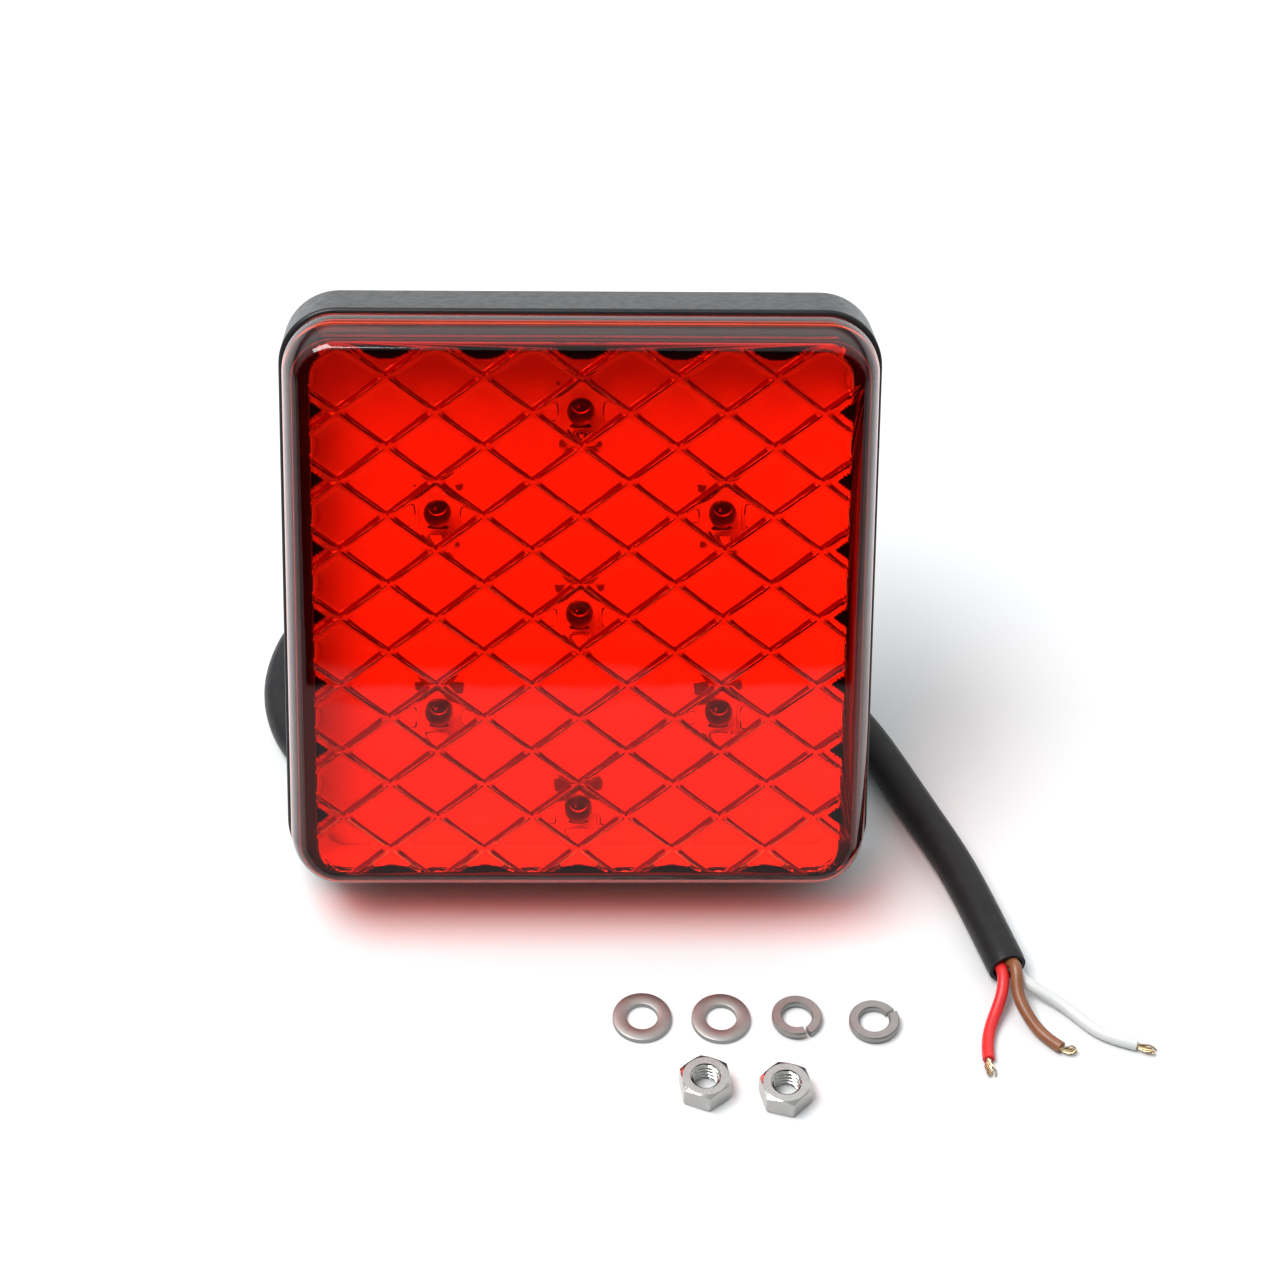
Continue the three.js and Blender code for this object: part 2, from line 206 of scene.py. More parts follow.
class Nodes(Tree):
    """A material's node tree."""

    def __init__(self, name):
        self.material = bpy.data.materials.new(name)
        self.material.use_nodes = True
        super().__init__(self.material.node_tree)
        self.shader = self.tree.nodes["Principled BSDF"]
        self.place = self.add("ShaderNodeTexCoord").outputs["Object"]

    def stretched(self, x=1, y=1, z=1):
        mapping = self.add("ShaderNodeMapping", Scale=(x, y, z))
        self.link(self.place, mapping.inputs["Vector"])
        return mapping.outputs["Vector"]

    def noise(self, size, detail=3, vector=None):
        """Noise whose features are about `size` millimetres across."""
        node = self.add("ShaderNodeTexNoise", Scale=1 / (size * MM), Detail=detail)
        self.link(vector or self.place, node.inputs["Vector"])
        return node.outputs["Fac"]

    def blend(self, fac, first, second):
        """A colour between two, each a colour or a socket."""
        node = self.add("ShaderNodeMix")
        node.data_type = "RGBA"
        self.link(fac, node.inputs["Factor"])
        for key, value in (("A", first), ("B", second)):
            socket = next(s for s in node.inputs if s.name == key and s.type == "RGBA")
            if isinstance(value, bpy.types.NodeSocket):
                self.link(value, socket)
            else:
                socket.default_value = (*value, 1)
        return next(s for s in node.outputs if s.type == "RGBA")

    def bump(self, height, distance, strength=1.0):
        """Relief `distance` millimetres deep."""
        node = self.add("ShaderNodeBump", Strength=strength, Distance=distance * MM)
        self.link(height, node.inputs["Height"])
        self.link(node.outputs["Normal"], self.shader.inputs["Normal"])

    def set(self, **values):
        for key, value in values.items():
            socket = self.shader.inputs[key.replace("_", " ")]
            if isinstance(value, bpy.types.NodeSocket):
                self.link(value, socket)
            elif isinstance(value, tuple):
                socket.default_value = (*value, 1)
            else:
                socket.default_value = value


# ---- materials

PAINTED_SHADE_ATTRIBUTE = "painted_shade"  # the lens's vertex attribute of painted shade: 1 for dark red shade along the quilt's valleys, 2 for painted black at the border


def let_light_through(nodes, tint):
    """Shadow rays pass straight through this glass, tinted."""
    clear = nodes.add("ShaderNodeBsdfTransparent", Color=(*tint, 1))
    path = nodes.add("ShaderNodeLightPath")
    mix = nodes.add("ShaderNodeMixShader")
    output = nodes.tree.nodes["Material Output"]
    nodes.link(path.outputs["Is Shadow Ray"], mix.inputs[0])
    nodes.link(nodes.shader.outputs["BSDF"], mix.inputs[1])
    nodes.link(clear.outputs["BSDF"], mix.inputs[2])
    nodes.link(mix.outputs["Shader"], output.inputs["Surface"])


def diamond_crowns(nodes):
    """1 in the middle of each of the quilt's diamonds, falling to 0 at its edges."""
    place = nodes.add("ShaderNodeMapping")
    place.vector_type = "TEXTURE"
    location, rotation, scale = LAMP.decompose()
    place.inputs["Location"].default_value = location
    place.inputs["Rotation"].default_value = rotation.to_euler()
    place.inputs["Scale"].default_value = scale
    nodes.link(nodes.place, place.inputs["Vector"])
    waves = []
    for sign in (1, -1):
        along = nodes.add("ShaderNodeVectorMath")
        along.operation = "DOT_PRODUCT"
        along.inputs[1].default_value = (pi / 2 / DIAMOND[0], sign * pi / 2 / DIAMOND[1], 0)
        nodes.link(place.outputs["Vector"], along.inputs[0])
        waves.append(nodes.math("ABSOLUTE", nodes.math("COSINE", along.outputs["Value"])))
    return nodes.math("MULTIPLY", *waves)


def red_lens_material():
    """Polished red acrylic with the faint waviness and fine scuffs of a moulding; painted shade makes it
    dark red along the quilt's valleys and near black at the border tips.
    """
    nodes = Nodes("red_lens")
    attribute = nodes.add("ShaderNodeAttribute")
    attribute.attribute_name = PAINTED_SHADE_ATTRIBUTE
    painted_shade_level = attribute.outputs["Fac"]
    in_painted_shade = nodes.spread(painted_shade_level, 0, 1, 0, 1)
    red = nodes.blend(nodes.noise(26, 2), (1.0, 0.075, 0.022), (0.96, 0.085, 0.026))
    # Painted shade: dark red along the quilt's valleys, near black at the border tips, and metallic there so
    # that no light passes through it.
    dark = nodes.blend(nodes.spread(painted_shade_level, 0, 1, 1, 1.7), (0.19, 0.001, 0.001), (0.01, 0.001, 0.001))
    nodes.set(
        Base_Color=nodes.blend(in_painted_shade, red, dark),
        Metallic=in_painted_shade,
        Roughness=nodes.math(
            "MAXIMUM",
            nodes.spread(nodes.noise(0.6, 4), 0.01, 0.035, 0.45, 0.75),
            nodes.spread(painted_shade_level, 0, 0.7, 0.2, 0.8),
        ),
        Transmission_Weight=1.0,
        IOR=1.49,
    )
    wavy = nodes.math("ADD", nodes.noise(9, 1), nodes.spread(diamond_crowns(nodes), 0, 0.8, 0, 1))
    nodes.bump(wavy, 0.01)
    let_light_through(nodes, (0.92, 0.32, 0.19))
    return nodes.material


def clear_resin_material():
    """The LEDs' epoxy: clear, with a little flow in it."""
    nodes = Nodes("clear_resin")
    nodes.set(
        Base_Color=nodes.blend(nodes.noise(2.5, 2), (0.97, 0.95, 0.94), (0.93, 0.9, 0.89)),
        Roughness=nodes.spread(nodes.noise(0.5, 3), 0.01, 0.04),
        Transmission_Weight=1.0,
        IOR=1.53,
    )
    let_light_through(nodes, (0.97, 0.96, 0.96))
    return nodes.material


def satin_plastic_material():
    """Moulded black plastic: satin, with a fine grain and handling marks."""
    nodes = Nodes("black_plastic")
    marks = nodes.noise(5, 5)
    nodes.set(
        Base_Color=nodes.blend(marks, (0.008, 0.009, 0.010), (0.015, 0.017, 0.018)),
        Roughness=nodes.spread(nodes.noise(1.4, 6), 0.28, 0.4, 0.4, 0.8),
        IOR=1.45,
        Specular_IOR_Level=0.3,
    )
    nodes.bump(nodes.noise(0.2, 2), 0.01, 0.3)
    return nodes.material


def rubber_material(name, size, shine):
    """Black rubber or soft PVC: satin, with a fine grain."""
    nodes = Nodes(name)
    nodes.set(
        Base_Color=nodes.blend(nodes.noise(3, 4), (0.010, 0.010, 0.011), (0.020, 0.020, 0.021)),
        Roughness=nodes.spread(nodes.noise(1.2, 5), shine - 0.06, shine + 0.1),
        IOR=1.45,
        Specular_IOR_Level=0.2,
    )
    nodes.bump(nodes.noise(size, 4), 0.02, 0.5)
    return nodes.material


def white_board_material():
    """White solder mask, slightly raised over the copper tracks under it."""
    nodes = Nodes("white_board")
    wave = nodes.add("ShaderNodeTexWave", Scale=60, Distortion=2.5, Detail=1)
    nodes.link(nodes.place, wave.inputs["Vector"])
    tracks = nodes.spread(wave.outputs["Fac"], 0, 1, 0.86, 0.9)
    nodes.set(
        Base_Color=nodes.blend(nodes.noise(24, 2), (0.97, 0.97, 0.96), (0.8, 0.8, 0.79)),
        Roughness=nodes.spread(nodes.noise(0.8, 3), 0.35, 0.5),
    )
    nodes.bump(tracks, 0.03, 0.15)
    return nodes.material


def component_material():
    """Moulded component bodies: near black, speckled."""
    nodes = Nodes("component")
    speckle = nodes.spread(nodes.noise(0.15, 5), 0, 1, 0.55, 0.7)
    nodes.set(
        Base_Color=nodes.blend(speckle, (0.02, 0.02, 0.022), (0.07, 0.07, 0.075)),
        Roughness=nodes.spread(nodes.noise(0.4, 4), 0.4, 0.65),
    )
    nodes.bump(nodes.noise(0.2, 3), 0.01)
    return nodes.material


def metal_material(name, dark, light, rough, grain):
    """Bare or plated metal with a blotchy finish and fine scratches."""
    nodes = Nodes(name)
    scratches = nodes.noise(grain, 4, nodes.stretched(1, 0.4, 1))
    nodes.set(
        Base_Color=nodes.blend(nodes.noise(2.2, 5), dark, light),
        Metallic=1.0,
        Roughness=nodes.spread(scratches, rough - 0.08, rough + 0.1),
    )
    nodes.bump(scratches, 0.008, 0.25)
    return nodes.material


def insulation_material(name, dark, light):
    """Smooth coloured PVC with a slight grain along it."""
    nodes = Nodes(name)
    nodes.set(
        Base_Color=nodes.blend(nodes.noise(1.8, 4), dark, light),
        Roughness=nodes.spread(nodes.noise(0.5, 4), 0.3, 0.48),
        Subsurface_Weight=0.06,
        Subsurface_Scale=0.6 * MM,
    )
    nodes.bump(nodes.noise(0.35, 4), 0.01, 0.5)
    return nodes.material


def floor_material():
    """A matt white sweep with a trace of paper grain."""
    nodes = Nodes("white_sweep")
    nodes.set(
        Base_Color=nodes.blend(nodes.noise(60, 3), (0.68, 0.685, 0.69), (0.66, 0.67, 0.675)),
        Roughness=nodes.spread(nodes.noise(4, 4), 0.5, 0.62),
    )
    nodes.bump(nodes.noise(1.5, 3), 0.01, 0.3)
    return nodes.material


# Darker and lighter colour, roughness, and the size of the scratches in millimetres.
METALS = {
    "solder": ((0.62, 0.62, 0.64), (0.75, 0.75, 0.76), 0.3, 0.4),
    "zinc_steel": ((0.24, 0.237, 0.228), (0.33, 0.327, 0.315), 0.42, 0.25),
    "polished_zinc": ((0.36, 0.357, 0.345), (0.48, 0.477, 0.46), 0.17, 0.25),
    "copper": ((0.36, 0.26, 0.15), (0.6, 0.46, 0.28), 0.32, 0.2),
    # the next is near black: a painted reflection at the top of each LED's dome
    "painted_crown_reflection": ((0.03, 0.028, 0.028), (0.06, 0.055, 0.055), 0.35, 0.3),
    "leg_metal": ((0.36, 0.35, 0.34), (0.46, 0.45, 0.44), 0.5, 0.3),
    "bronze": ((0.09, 0.05, 0.03), (0.17, 0.1, 0.06), 0.35, 0.3),
    # the next catches the key light: painted glints in each LED's dome
    "painted_glint_gold": ((0.9, 0.6, 0.2), (1.0, 0.74, 0.34), 0.2, 0.3),
}
INSULATIONS = {
    "core_red": ((0.52, 0.008, 0.012), (0.68, 0.02, 0.02)),
    "core_brown": ((0.17, 0.055, 0.02), (0.25, 0.09, 0.035)),
    "core_white": ((0.55, 0.56, 0.56), (0.61, 0.62, 0.62)),
}
MATERIALS = {
    "red_lens": red_lens_material(),
    "clear_resin": clear_resin_material(),
    "black_plastic": satin_plastic_material(),
    "black_rubber": rubber_material("black_rubber", 0.5, 0.5),
    "cable_black": rubber_material("cable_black", 0.35, 0.36),
    "white_board": white_board_material(),
    "component": component_material(),
    "white_sweep": floor_material(),
}
MATERIALS |= {name: metal_material(name, *looks) for name, looks in METALS.items()}
MATERIALS |= {name: insulation_material(name, *looks) for name, looks in INSULATIONS.items()}


def finish_cad_nodes():
    """Every CAD node shown as it is gets its slot's material."""
    for part in frame["record"]["subparts"]:
        node = frame["nodes"][part["node"]]
        node.data.materials.clear()
        node.data.materials.append(MATERIALS[part["material_slot"]])


# ---- mesh helpers


class Shape:
    """Vertices and faces in millimetres, built up and then turned into a piece."""

    def __init__(self):
        self.points = []
        self.faces = []
        self.slots = []  # each face's place in the piece's list of finishes

    def add(self, points, faces):
        base = len(self.points)
        self.points.extend(Vector(point).to_3d() for point in points)
        self.faces.extend([index + base for index in face] for face in faces)
        self.slots.extend([0] * len(faces))
        return self

    def merge(self, other, slot=None, shift=(0, 0, 0)):
        """Adds another shape, with its own finishes or all in one."""
        move = Vector(shift)
        first = len(self.slots)
        self.add([point + move for point in other.points], other.faces)
        self.slots[first:] = other.slots if slot is None else [slot] * len(other.slots)
        return self

    def moved(self, matrix):
        self.points = [matrix @ point for point in self.points]
        return self


def loft(rings, first_cap=True, last_cap=True):
    """Faces between rings with the same number of points, closed with a face at either end."""
    count = len(rings[0])
    faces = []
    for level in range(len(rings) - 1):
        low = level * count
        for step in range(count):
            following = (step + 1) % count
            faces.append([low + step, low + following, low + count + following, low + count + step])
    if first_cap:
        faces.append(list(range(count))[::-1])
    if last_cap:
        faces.append([(len(rings) - 1) * count + step for step in range(count)])
    return Shape().add([point for ring in rings for point in ring], faces)


def rounded_ring(half_width, half_height, radius, z, steps=14):
    """A rounded rectangle's outline, anticlockwise."""
    ring = []
    for quarter, (sx, sy) in enumerate(((1, 1), (-1, 1), (-1, -1), (1, -1))):
        for step in range(steps + 1):
            angle = (quarter + step / steps) * pi / 2
            x = sx * (half_width - radius) + radius * cos(angle)
            y = sy * (half_height - radius) + radius * sin(angle)
            ring.append((x, y, z))
    return ring


def square_rings(half, corner, profile):
    """Rounded squares that follow a profile of (inset, z)."""
    return [rounded_ring(half - inset, half - inset, max(corner - inset, 0.3), z) for inset, z in profile]


def round_edge(inset, z, radius, start, end, steps=5):
    """Profile points of a rounded edge about its centre (inset, z), from angle start to end in degrees."""
    points = []
    for step in range(steps + 1):
        angle = radians(start + (end - start) * step / steps)
        points.append((inset - radius * cos(angle), z + radius * sin(angle)))
    return points


def circles(profile, sides):
    """Rings about Z from (radius, z) points."""
    turns = [2 * pi * step / sides for step in range(sides)]
    rings = []
    for radius, z in profile:
        rings.append([(radius * cos(turn), radius * sin(turn), z) for turn in turns])
    return rings


def turned(profile, sides=48):
    """A round body about Z from (radius, z) points, closed with a face at either end."""
    return loft(circles(profile, sides))


def turned_ring(profile, sides=72):
    """A ring about Z whose section is the closed profile of (radius, z) points."""
    return loft(circles([*profile, profile[0]], sides), False, False)


def unit(value):
    """The value, kept between 0 and 1."""
    return min(max(value, 0), 1)


FINE = 0.0005  # how near points are welded in shapes with fine detail


def mesh_of(name, shape, weld, shortest=0):
    """The shape as a mesh: double points welded, the shortest edges dissolved, faces outwards."""
    mesh = bpy.data.meshes.new(name)
    mesh.from_pydata(shape.points, [], shape.faces)
    mesh.polygons.foreach_set("material_index", shape.slots)
    work = bmesh.new()
    work.from_mesh(mesh)
    bmesh.ops.remove_doubles(work, verts=work.verts, dist=weld)
    if shortest:
        bmesh.ops.dissolve_degenerate(work, edges=work.edges, dist=shortest)
    bmesh.ops.recalc_face_normals(work, faces=work.faces)
    work.to_mesh(mesh)
    work.free()
    return mesh


def make_piece(name, shape, place, finishes, nodes, body="lamp", slot=None, sharp=35, weld=0.002):
    """A piece on its body, standing for its CAD nodes. Its slot argument is not used."""
    slot = slot or finishes[0]
    mesh = mesh_of(name, shape, weld, weld / 4)
    mesh.transform(place)
    mesh.shade_smooth()
    mesh.set_sharp_from_angle(angle=radians(sharp))
    for finish in finishes:
        mesh.materials.append(MATERIALS[finish])
    piece = add_object(name, mesh)
    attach(piece, body)
    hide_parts(*nodes)
    return piece


def weigh_normals(piece):
    """Keeps broad flat faces flat beside rounded edges."""
    modifier = piece.modifiers.new("weigh_normals", "WEIGHTED_NORMAL")
    modifier.keep_sharp = True
    modifier.weight = 80


def boolean(shape, operations):
    """The shape after a list of ('UNION', 'DIFFERENCE' or 'INTERSECT', shape) steps."""
    target = add_object("target", mesh_of("target", shape, FINE))
    tools = []
    for operation, other in operations:
        tool = add_object("tool", mesh_of("tool", other, FINE))
        tools.append(tool)
        modifier = target.modifiers.new("cut", "BOOLEAN")
        modifier.operation = operation
        modifier.solver = "EXACT"
        modifier.object = tool
    graph = bpy.context.evaluated_depsgraph_get()
    mesh = bpy.data.meshes.new_from_object(target.evaluated_get(graph))
    result = Shape().add(
        [vertex.co.copy() for vertex in mesh.vertices],
        [list(polygon.vertices) for polygon in mesh.polygons],
    )
    for item in [target, *tools]:
        data = item.data
        bpy.data.objects.remove(item)
        bpy.data.meshes.remove(data)
    bpy.data.meshes.remove(mesh)
    return result


# ---- curves for the cable

LOW = SHEATH / 2 + 0.05  # the height of its middle where it lies on the table
SHEATH_ROUTE = [
    (-2.15, 34.9, 27.7), (-1.3, 44.8, 22.6), (-4.6, 54.6, 17.9), (-11.5, 62, 14),
    (-20.6, 66.5, 10.7), (-30.6, 67.4, 8.1), (-40.4, 64.6, 6), (-48.4, 58.5, 4.6),
    (-53.7, 49.8, 3.7), (-55.6, 39.9, LOW), (-53.5, 29.3, LOW), (-47.5, 20.4, LOW),
    (-38.6, 14.4, LOW), (-28, 12.3, LOW), (-17.4, 14.4, LOW), (-8.5, 20.4, LOW),
    (-1.4, 28.4, LOW), (5.7, 36.5, LOW), (14.6, 42.5, LOW), (25.2, 44.6, LOW),
    (35.8, 42.5, LOW), (44.7, 36.5, LOW), (50.2, 28.7, LOW), (54.9, 19, LOW),
    (60, 7.6, LOW), (64.4, -2.7, LOW), (67.6, -12.2, LOW), (70, -20, LOW),
    (71.4, -24.7, LOW),
]
FLAT = CORE / 2 + 0.05
CORE_ROUTES = {
    "red": [
        (70.3, -25.9, 4.1), (69.8, -30.4, 2.9), (68, -34.8, 1.5), (67, -38.6, FLAT), (66.8, -42.2, FLAT),
    ],
    "brown": [
        (72.2, -25.2, 5.2), (72.6, -29.2, 3.8), (73.9, -33.2, 2.2), (76.4, -36.9, FLAT), (79.3, -39.8, FLAT),
    ],
    "white": [
        (73.2, -25.6, 2.9), (77.2, -29, 2.1), (81.4, -32, 1.3), (85.9, -36.4, FLAT), (92.2, -39.2, FLAT),
    ],
}
STRAND_ROUTES = {
    "red": [(66.8, -42.6, 1), (66.8, -44, 0.8), (66.9, -45.2, 0.75)],
    "brown": [(79.7, -40, 1), (80.8, -40.2, 0.8), (82, -40.1, 0.75)],
    "white": [(92.6, -39.4, 1), (94, -40, 0.8), (95.2, -40.6, 0.75)],
}
STRANDS = {
    "wires": 9,
    "layers": (0, 0.33, 0.6),  # how far from the bundle's middle: one wire, then six, then the rest
    "apart": 2.4,  # radians from one wire to the next
    "twist": 3.6,  # radians along the bundle
    "fray": 0.7,
    "flatness": 0.6,
}


def smooth_route(route, step):
    """Points about `step` apart on a natural cubic spline through the route."""
    knots = np.array(route, float)
    count = len(knots)
    ahead = np.linalg.norm(np.diff(knots, axis=0), axis=1)
    at = np.concatenate([[0], np.cumsum(ahead)])
    system = np.eye(count)
    right = np.zeros((count, 3))
    for i in range(1, count - 1):
        system[i, i - 1 : i + 2] = (ahead[i - 1], 2 * (ahead[i - 1] + ahead[i]), ahead[i])
        right[i] = 6 * ((knots[i + 1] - knots[i]) / ahead[i] - (knots[i] - knots[i - 1]) / ahead[i - 1])
    bend = np.linalg.solve(system, right)
    points = []
    for distance in np.linspace(0, at[-1], max(int(at[-1] / step), 4) + 1):
        i = min(int(np.searchsorted(at, distance, side="right")) - 1, count - 2)
        h = ahead[i]
        a = (at[i + 1] - distance) / h
        b = 1 - a
        curve = (a**3 - a) * bend[i] + (b**3 - b) * bend[i + 1]
        points.append(a * knots[i] + b * knots[i + 1] + curve * h * h / 6)
    return np.array(points)


def frames_along(points):
    """(point, side, up) at each point, turned as little as possible from one to the next."""
    tangents = np.gradient(points, axis=0)
    tangents /= np.linalg.norm(tangents, axis=1)[:, None]
    side = np.cross(tangents[0], (0, 0, 1))
    side /= np.linalg.norm(side)
    frames = []
    for point, tangent in zip(points, tangents):
        side = side - tangent * (side @ tangent)
        side /= np.linalg.norm(side)
        frames.append((point, side, np.cross(side, tangent)))
    return frames


def circle_round(frame_here, radius, sides):
    point, side, up = frame_here
    ring = []
    for step in range(sides):
        angle = 2 * pi * step / sides
        ring.append(point + radius * (cos(angle) * side + sin(angle) * up))
    return ring


def end_ring(frame_here, neighbour, radius, sides):
    """A smaller ring just past a tube's last point, which rounds the tube's end."""
    edge = radius * 0.12
    past = frame_here[0] - neighbour
    past *= edge / np.linalg.norm(past)
    return [point + past for point in circle_round(frame_here, radius - edge, sides)]


def tube(points, radius, sides):
    """A solid tube whose ends are slightly rounded."""
    frames = frames_along(points)
    rings = [circle_round(here, radius, sides) for here in frames]
    first = end_ring(frames[0], points[1], radius, sides)
    last = end_ring(frames[-1], points[-2], radius, sides)
    return loft([first, *rings, last])


# ---- the cable


def make_sheath(points):
    """The black sheath, hollow for its last few millimetres, where it was cut."""
    frames = frames_along(points)
    sides = 32
    radius = SHEATH / 2
    bore = SHEATH_BORE / 2
    hollow = 5  # steps of the route
    lip = (0.12, 0.1)  # the cut end's rounding, outside and inside
    rings = [circle_round(here, radius, sides) for here in frames[:-1]]
    rings.append(circle_round(frames[-1], radius - lip[0], sides))
    rings.append(circle_round(frames[-1], bore + lip[1], sides))
    rings += [circle_round(here, bore, sides) for here in frames[-2 : -2 - hollow : -1]]
    return loft(rings)


def core_start(colour):
    """Where a core begins, inside the sheath's bore, and where it comes out."""
    inside = 4
    mouth = np.array(SHEATH_ROUTE[-1], float)
    back = np.array(SHEATH_ROUTE[-2], float) - mouth
    back /= np.linalg.norm(back)
    offset = np.array(CORE_ROUTES[colour][0], float) - mouth
    offset -= back * (offset @ back)
    room = SHEATH_BORE / 2 - CORE / 2 - 0.05
    offset *= min(1, room / np.linalg.norm(offset))
    return mouth + back * inside + offset, mouth + offset


def make_strands(route):
    """A lightly twisted bundle of fine copper wires, a little frayed at its tip."""
    inside = np.array(route[0]) * 2 - np.array(route[1])
    frames = frames_along(smooth_route([inside, *route], 0.25))
    shape = Shape()
    for wire in range(STRANDS["wires"]):
        reach = STRANDS["layers"][(wire > 0) + (wire > 6)]
        shorter = (wire * 3) % 4
        path = []
        for index, (point, side, up) in enumerate(frames[: len(frames) - shorter]):
            along = index / (len(frames) - 1)
            angle = wire * STRANDS["apart"] + along * STRANDS["twist"]
            out = reach * (1 + STRANDS["fray"] * max(0, along - 0.5) * (1 + wire % 3))
            across = cos(angle) * side + STRANDS["flatness"] * sin(angle) * up
            path.append(point + out * across)
        shape.merge(tube(np.array(path), WIRE / 2, 8))
    return shape


def add_cable():
    with_sheath = []
    for colour, route in CORE_ROUTES.items():
        core = tube(smooth_route([*core_start(colour), *route], 0.4), CORE / 2, 20)
        insulation = make_piece(
            f"insulated_core_{colour}", core, ROW, [f"core_{colour}"], [f"core_{colour}"], weld=FINE,
        )
        wires = make_piece(
            f"copper_strands_{colour}", make_strands(STRAND_ROUTES[colour]), ROW,
            ["copper"], [f"strands_{colour}"], weld=FINE,
        )
        with_sheath += [insulation, wires]
    points = smooth_route(SHEATH_ROUTE, 1.0)
    sheath = make_piece("cable_outer_sheath", make_sheath(points), ROW, ["cable_black"], ["cable_sheath"])


# ---- the lens

# Painted shade: a dark V along each diamond's lower edges. An arm is `width` millimetres wide, and widens by
# `flare` from the place `flare_from` onwards. A diamond's side is 2 long, and an arm stops short of its end.
LEFT_ARM = {"width": 0.5, "flare": 0.35, "flare_from": 1.3}
RIGHT_ARM = {"width": 0.78, "flare": 0.3, "flare_from": 1.2}
ARM_END = 1.84
ARM_FADE = (0.12, 0.08)  # across an arm, and at its end
UPPER_SHADE = {"depth": 0.2, "width": 1.3, "fade": 0.3}  # the faint shade along the upper edges

# Painted shade: black tips where the frame cuts a diamond off: triangles at the sides, arcs above and below.
SIDE_TIP = {"reach": 2.0, "spread": 0.7}
ARC_TIP = {"top": 1.3, "bottom": 0.8, "half_width": 3.8}
TIP_FADE = 0.15

# Where the quilt's grid has its lines in half a diamond, close together at the edge, where it is steep.
QUILT_LINES = [-1, -0.97, -0.94, -0.915, -0.89, -0.865, -0.84, -0.8, -0.72, -0.5]
WINDOW_RINGS = (0, 0.25, WINDOW_SLOPE, 0.8, 1.1, 1.4, 1.7, 2.0, 2.3)  # the rings round its border


def border_distance(x, y):
    """How far inside the quilt's window a point is."""
    half_width, half_height, radius = WINDOW
    qx = abs(x) - (half_width - radius)
    qy = abs(y) - (half_height - radius)
    outside = hypot(max(qx, 0), max(qy, 0))
    return radius - outside - min(max(qx, qy), 0)


def quilt_height(x, y):
    """How far the quilt's diamonds stand in from the lens's flat inner face."""
    inside = border_distance(x, y)
    if inside <= 0:
        return 0
    s, t = cell_place(x, y)
    run_out = sin(min(inside / WINDOW_SLOPE, 1) * pi / 2)
    return RELIEF * (1 - abs(s) ** CROWN) * (1 - abs(t) ** CROWN) * run_out


def cell_place(x, y):
    """Where a point lies in its diamond: -1 to 1 across to the upper right, and to the lower right."""
    across = x / DIAMOND[0] + y / DIAMOND[1]
    along = x / DIAMOND[0] - y / DIAMOND[1]
    return across - 2 * round(across / 2), along - 2 * round(along / 2)


def groove_line(from_edge, from_foot, arm):
    """One arm of the painted dark V, from how far a point is from the diamond's edge and from the foot of
    the V.
    """
    width = arm["width"] + arm["flare"] * max(0, from_foot - arm["flare_from"])
    across = unit((width - from_edge * CELL_WIDTH) / ARM_FADE[0])
    return across * unit((ARM_END - from_foot) / ARM_FADE[1])


def painted_border_tips(x, y, s, t):
    """Painted shade: black tips on the diamonds that the frame cuts off."""
    width, height = FRAME_INSIDE[:2]
    from_middle = (DIAMOND[0] * (s + t) / 2, DIAMOND[1] * (s - t) / 2)
    if abs(x - from_middle[0]) > width:
        half = SIDE_TIP["spread"] * (SIDE_TIP["reach"] - width + abs(x))
        return 2 * unit((half - abs(from_middle[1])) / TIP_FADE)
    if abs(y - from_middle[1]) > height:
        depth = ARC_TIP["top"] if y > 0 else ARC_TIP["bottom"]
        arc = depth * (1 - (from_middle[0] / ARC_TIP["half_width"]) ** 2)
        return 2 * unit((arc - height + abs(y)) / TIP_FADE)
    return 0


def painted_groove_shade(x, y):
    """How much painted shade the quilt gets: a dark V along each diamond's lower edges, a faint shade along
    its upper ones, and black tips at the border.
    """
    if border_distance(x, y) <= 0:
        return 0
    s, t = cell_place(x, y)
    left = groove_line(1 + s, 1 - t, LEFT_ARM)
    right = groove_line(1 - t, 1 + s, RIGHT_ARM)
    from_upper = min(1 - s, 1 + t) * CELL_WIDTH
    upper = UPPER_SHADE["depth"] * unit((UPPER_SHADE["width"] - from_upper) / UPPER_SHADE["fade"])
    return max(left, right, upper, painted_border_tips(x, y, s, t))


def paint_groove_shade(piece):
    """Writes the painted groove shade onto the lens's inner face."""
    inverse = LAMP.inverted()
    values = []
    for vertex in piece.data.vertices:
        x, y, z = inverse @ vertex.co
        values.append(painted_groove_shade(x, y) if z < LENS_CEILING + 0.01 else 0)
    attribute = piece.data.attributes.new(PAINTED_SHADE_ATTRIBUTE, "FLOAT", "POINT")
    attribute.data.foreach_set("value", values)


def quilt_points():
    """Points and edges of a grid that follows the diamonds, denser towards their edges."""
    steps = [*QUILT_LINES, 0, *(-step for step in QUILT_LINES[:0:-1])]
    reach = int(WINDOW[0] / DIAMOND[0] + WINDOW[1] / DIAMOND[1]) // 2 + 1
    marks = [2 * cell + step for cell in range(-reach, reach + 1) for step in steps]
    points = []
    index = {}
    for i, across in enumerate(marks):
        for j, along in enumerate(marks):
            x = DIAMOND[0] * (across + along) / 2
            y = DIAMOND[1] * (across - along) / 2
            if border_distance(x, y) > 0.08:
                index[i, j] = len(points)
                points.append((x, y))
    edges = []
    for (i, j), here in index.items():
        for other in ((i + 1, j), (i, j + 1)):
            if other in index:
                edges.append((here, index[other]))
    return points, edges


